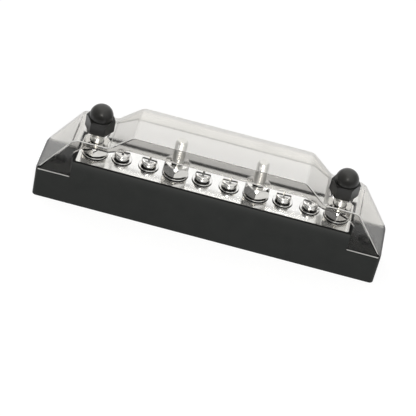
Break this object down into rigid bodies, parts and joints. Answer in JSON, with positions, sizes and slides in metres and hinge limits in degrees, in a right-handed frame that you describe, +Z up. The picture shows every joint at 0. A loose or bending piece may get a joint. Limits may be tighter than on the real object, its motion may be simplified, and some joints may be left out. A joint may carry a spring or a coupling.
{
  "type": "power distribution block",
  "caption": "Power distribution block: a black moulded base with a plated busbar, nutted studs and terminal screws, under a clear cover held by domed cap nuts.",
  "frame": {"origin": "centre of the base's footprint, on the surface that it stands on", "axes": "+X along the row of terminals, +Y to the back, +Z up along the studs"},
  "size_m": [0.18, 0.0252, 0.0577],
  "materials": {
    "base": "moulded black phenolic, fine satin",
    "busbar": "bright nickel plate",
    "stud": "bright nickel plate",
    "nut": "bright nickel plate",
    "washer": "bright plated",
    "lock_washer": "bright plated",
    "screw": "bright nickel plate",
    "cover": "clear, polished",
    "cap_nut": "moulded black nylon, satin"
  },
  "bodies": {
    "base_body": {"base": "base", "busbar": "busbar", "stud_1": "stud", "stud_2": "stud", "stud_3": "stud", "stud_4": "stud", "stud_flat_washer_1": "washer", "stud_flat_washer_2": "washer", "stud_flat_washer_3": "washer", "stud_flat_washer_4": "washer"},
    "screw_washers_1": {"screw_flat_washer_1": "washer", "screw_lock_washer_1": "lock_washer"},
    "screw_1": {"terminal_screw_1": "screw"},
    "screw_washers_2": {"screw_flat_washer_2": "washer", "screw_lock_washer_2": "lock_washer"},
    "screw_2": {"terminal_screw_2": "screw"},
    "screw_washers_3": {"screw_flat_washer_3": "washer", "screw_lock_washer_3": "lock_washer"},
    "screw_3": {"terminal_screw_3": "screw"},
    "screw_washers_4": {"screw_flat_washer_4": "washer", "screw_lock_washer_4": "lock_washer"},
    "screw_4": {"terminal_screw_4": "screw"},
    "screw_washers_5": {"screw_flat_washer_5": "washer", "screw_lock_washer_5": "lock_washer"},
    "screw_5": {"terminal_screw_5": "screw"},
    "screw_washers_6": {"screw_flat_washer_6": "washer", "screw_lock_washer_6": "lock_washer"},
    "screw_6": {"terminal_screw_6": "screw"},
    "nut_washer_1": {"stud_lock_washer_1": "lock_washer"},
    "nut_1": {"stud_nut_1": "nut"},
    "nut_washer_2": {"stud_lock_washer_2": "lock_washer"},
    "nut_2": {"stud_nut_2": "nut"},
    "nut_washer_3": {"stud_lock_washer_3": "lock_washer"},
    "nut_3": {"stud_nut_3": "nut"},
    "nut_washer_4": {"stud_lock_washer_4": "lock_washer"},
    "nut_4": {"stud_nut_4": "nut"},
    "cover_body": {"cover": "cover"},
    "cap_1": {"cap_nut_1": "cap_nut"},
    "cap_2": {"cap_nut_2": "cap_nut"}
  },
  "joints": [
    {"name": "screw_1_travel", "type": "slide", "parent": "base_body", "child": "screw_washers_1", "axis": [0, 0, 1], "range_m": [0, 0.00357]},
    {"name": "screw_1_turn", "type": "hinge", "parent": "screw_washers_1", "child": "screw_1", "pos_m": [-0.049, -0.00095, 0.03], "axis": [0, 0, 1], "range_deg": [0, 1620]},
    {"name": "screw_2_travel", "type": "slide", "parent": "base_body", "child": "screw_washers_2", "axis": [0, 0, 1], "range_m": [0, 0.00357]},
    {"name": "screw_2_turn", "type": "hinge", "parent": "screw_washers_2", "child": "screw_2", "pos_m": [-0.035, -0.00095, 0.03], "axis": [0, 0, 1], "range_deg": [0, 1620]},
    {"name": "screw_3_travel", "type": "slide", "parent": "base_body", "child": "screw_washers_3", "axis": [0, 0, 1], "range_m": [0, 0.00357]},
    {"name": "screw_3_turn", "type": "hinge", "parent": "screw_washers_3", "child": "screw_3", "pos_m": [-0.007, -0.00095, 0.03], "axis": [0, 0, 1], "range_deg": [0, 1620]},
    {"name": "screw_4_travel", "type": "slide", "parent": "base_body", "child": "screw_washers_4", "axis": [0, 0, 1], "range_m": [0, 0.00357]},
    {"name": "screw_4_turn", "type": "hinge", "parent": "screw_washers_4", "child": "screw_4", "pos_m": [0.007, -0.00095, 0.03], "axis": [0, 0, 1], "range_deg": [0, 1620]},
    {"name": "screw_5_travel", "type": "slide", "parent": "base_body", "child": "screw_washers_5", "axis": [0, 0, 1], "range_m": [0, 0.00357]},
    {"name": "screw_5_turn", "type": "hinge", "parent": "screw_washers_5", "child": "screw_5", "pos_m": [0.035, -0.00095, 0.03], "axis": [0, 0, 1], "range_deg": [0, 1620]},
    {"name": "screw_6_travel", "type": "slide", "parent": "base_body", "child": "screw_washers_6", "axis": [0, 0, 1], "range_m": [0, 0.00357]},
    {"name": "screw_6_turn", "type": "hinge", "parent": "screw_washers_6", "child": "screw_6", "pos_m": [0.049, -0.00095, 0.03], "axis": [0, 0, 1], "range_deg": [0, 1620]},
    {"name": "nut_1_travel", "type": "slide", "parent": "base_body", "child": "nut_washer_1", "axis": [0, 0, 1], "range_m": [0, 0.00381]},
    {"name": "nut_1_turn", "type": "hinge", "parent": "nut_washer_1", "child": "nut_1", "pos_m": [-0.063, -0.00095, 0.03], "axis": [0, 0, 1], "range_deg": [0, 1080]},
    {"name": "nut_2_travel", "type": "slide", "parent": "base_body", "child": "nut_washer_2", "axis": [0, 0, 1], "range_m": [0, 0.01397]},
    {"name": "nut_2_turn", "type": "hinge", "parent": "nut_washer_2", "child": "nut_2", "pos_m": [-0.021, -0.00095, 0.03], "axis": [0, 0, 1], "range_deg": [0, 3960]},
    {"name": "nut_3_travel", "type": "slide", "parent": "base_body", "child": "nut_washer_3", "axis": [0, 0, 1], "range_m": [0, 0.01397]},
    {"name": "nut_3_turn", "type": "hinge", "parent": "nut_washer_3", "child": "nut_3", "pos_m": [0.021, -0.00095, 0.03], "axis": [0, 0, 1], "range_deg": [0, 3960]},
    {"name": "nut_4_travel", "type": "slide", "parent": "base_body", "child": "nut_washer_4", "axis": [0, 0, 1], "range_m": [0, 0.00381]},
    {"name": "nut_4_turn", "type": "hinge", "parent": "nut_washer_4", "child": "nut_4", "pos_m": [0.063, -0.00095, 0.03], "axis": [0, 0, 1], "range_deg": [0, 1080]},
    {"name": "cover_lift", "type": "slide", "parent": "base_body", "child": "cover_body", "axis": [0, 0, 1], "range_m": [0, 0.03619]},
    {"name": "cap_nut_1_turn", "type": "hinge", "parent": "cover_body", "child": "cap_1", "pos_m": [-0.063, -0.00095, 0.03], "axis": [0, 0, 1], "range_deg": [0, 10260]},
    {"name": "cap_nut_2_turn", "type": "hinge", "parent": "cover_body", "child": "cap_2", "pos_m": [0.063, -0.00095, 0.03], "axis": [0, 0, 1], "range_deg": [0, 10260]}
  ],
  "couplings": [
    {"joint": "screw_1_turn", "follows": "screw_1_travel", "rad_per_m": 7915.8},
    {"joint": "screw_2_turn", "follows": "screw_2_travel", "rad_per_m": 7915.8},
    {"joint": "screw_3_turn", "follows": "screw_3_travel", "rad_per_m": 7915.8},
    {"joint": "screw_4_turn", "follows": "screw_4_travel", "rad_per_m": 7915.8},
    {"joint": "screw_5_turn", "follows": "screw_5_travel", "rad_per_m": 7915.8},
    {"joint": "screw_6_turn", "follows": "screw_6_travel", "rad_per_m": 7915.8},
    {"joint": "nut_1_turn", "follows": "nut_1_travel", "rad_per_m": 4947.4},
    {"joint": "nut_2_turn", "follows": "nut_2_travel", "rad_per_m": 4947.4},
    {"joint": "nut_3_turn", "follows": "nut_3_travel", "rad_per_m": 4947.4},
    {"joint": "nut_4_turn", "follows": "nut_4_travel", "rad_per_m": 4947.4},
    {"joint": "cap_nut_1_turn", "follows": "cover_lift", "rad_per_m": 4947.4},
    {"joint": "cap_nut_2_turn", "follows": "cover_lift", "rad_per_m": 4947.4}
  ]
}
